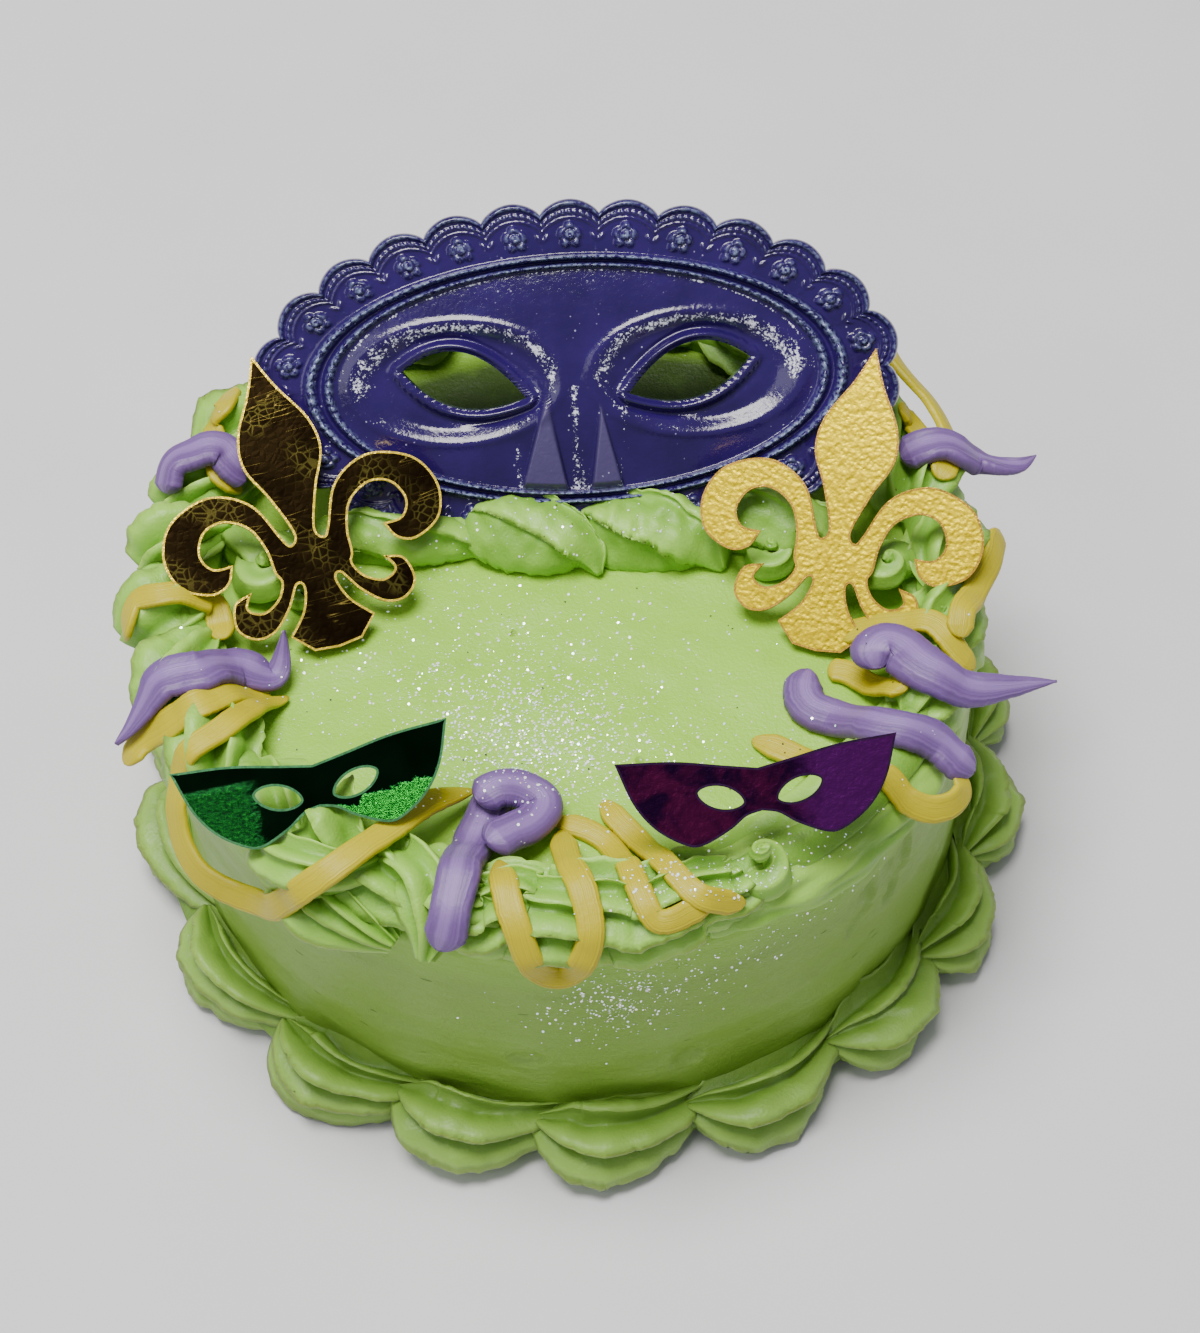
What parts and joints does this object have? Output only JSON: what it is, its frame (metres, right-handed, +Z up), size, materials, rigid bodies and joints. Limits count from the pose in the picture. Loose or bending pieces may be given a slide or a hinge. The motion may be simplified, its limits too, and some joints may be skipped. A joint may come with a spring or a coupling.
{
  "type": "toy carnival cake for a doll",
  "caption": "Round green iced toy cake with piped shell borders, a leaning lace-edged oval mask plaque, foil fleurs-de-lis, foil half masks and loose icing ribbons.",
  "frame": {"origin": "centre of the round underside, on the surface the cake stands on", "axes": "+Z up, -Y the front that the mask plaque looks to, +X the right side seen from the front"},
  "size_m": [0.1021, 0.1025, 0.0635],
  "materials": {
    "green_icing": "soft satin, piped and smoothed icing look",
    "yellow_icing": "soft satin",
    "purple_icing": "soft satin",
    "indigo_resin": "glossy dark indigo with fine glitter",
    "gold_foil": "mirror foil on card",
    "green_foil": "mirror foil on card",
    "purple_foil": "mirror foil on card"
  },
  "bodies": {
    "root": {"cake_body": "green_icing", "base_border": "green_icing", "top_border": "green_icing", "mask_bed": "green_icing", "mask_prop": "green_icing", "mask_plaque": "indigo_resin", "fleur_left": "gold_foil", "fleur_right": "gold_foil", "half_mask_green": "green_foil", "half_mask_purple": "purple_foil", "ribbon_yellow_1": "yellow_icing", "ribbon_yellow_2": "yellow_icing", "ribbon_yellow_3": "yellow_icing", "ribbon_yellow_4": "yellow_icing", "ribbon_yellow_5": "yellow_icing", "ribbon_yellow_6": "yellow_icing", "ribbon_yellow_7": "yellow_icing", "ribbon_yellow_8": "yellow_icing", "ribbon_yellow_9": "yellow_icing", "ribbon_yellow_10": "yellow_icing", "ribbon_yellow_11": "yellow_icing", "ribbon_yellow_12": "yellow_icing", "ribbon_yellow_13": "yellow_icing", "ribbon_yellow_14": "yellow_icing", "ribbon_purple_1": "purple_icing", "ribbon_purple_2": "purple_icing", "ribbon_purple_3": "purple_icing", "ribbon_purple_4": "purple_icing", "ribbon_purple_5": "purple_icing", "ribbon_purple_6": "purple_icing", "ribbon_purple_7": "purple_icing", "ribbon_purple_8": "purple_icing"}
  },
  "joints": []
}
